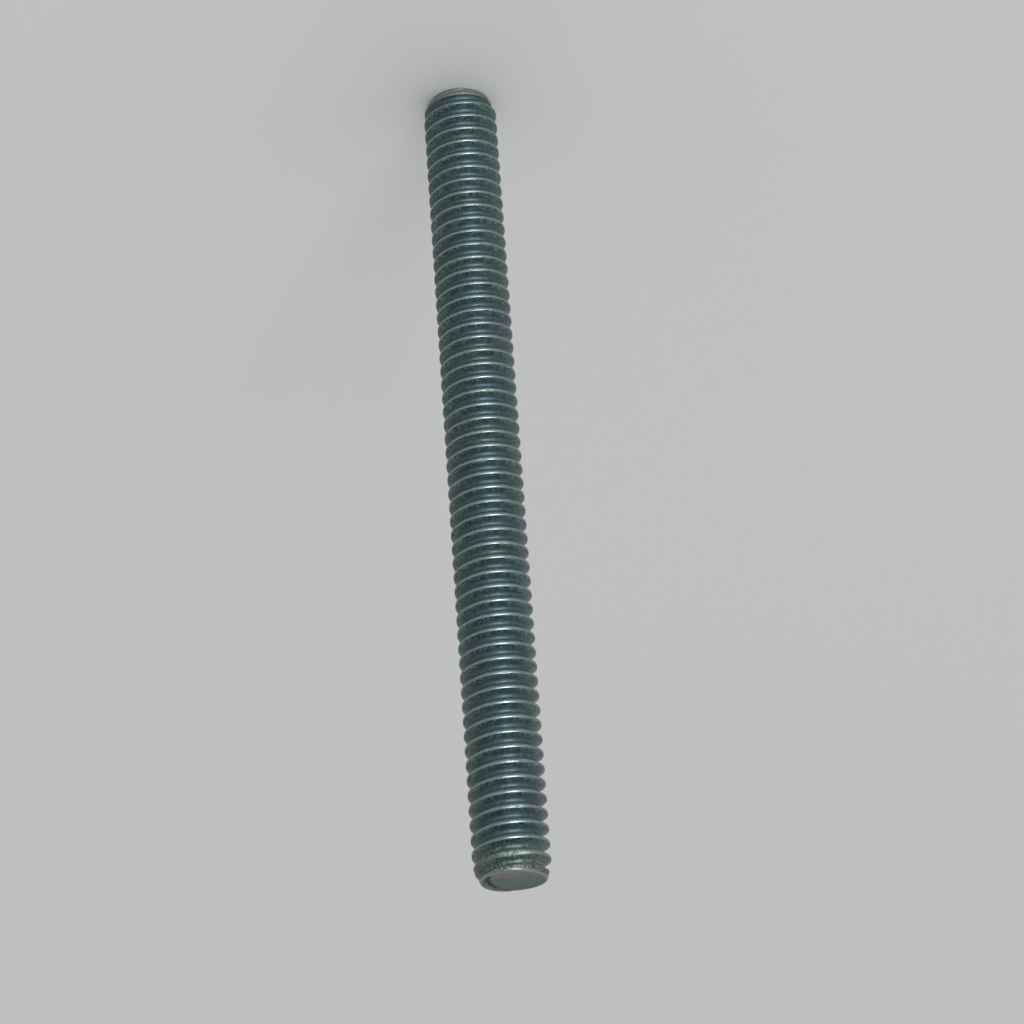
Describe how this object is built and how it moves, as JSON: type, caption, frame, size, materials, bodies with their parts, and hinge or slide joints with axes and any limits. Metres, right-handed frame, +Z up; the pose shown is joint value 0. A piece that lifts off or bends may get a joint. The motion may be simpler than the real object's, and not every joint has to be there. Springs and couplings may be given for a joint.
{
  "type": "threaded stud",
  "caption": "Headless steel stud with a right-hand thread along its whole length and a short taper at both ends.",
  "frame": {"origin": "centre of the flat face at the foot, which it stands on", "axes": "+Z runs up the stud's axis from the foot to the top end; X and Y lie across it, and the camera's side is -Y"},
  "size_m": [0.0064, 0.0064, 0.0717],
  "materials": {
    "zinc": "zinc plated, blue-green passivated, satin, with brighter worn crests"
  },
  "bodies": {
    "root": {"threaded_stud": "zinc"}
  },
  "joints": []
}
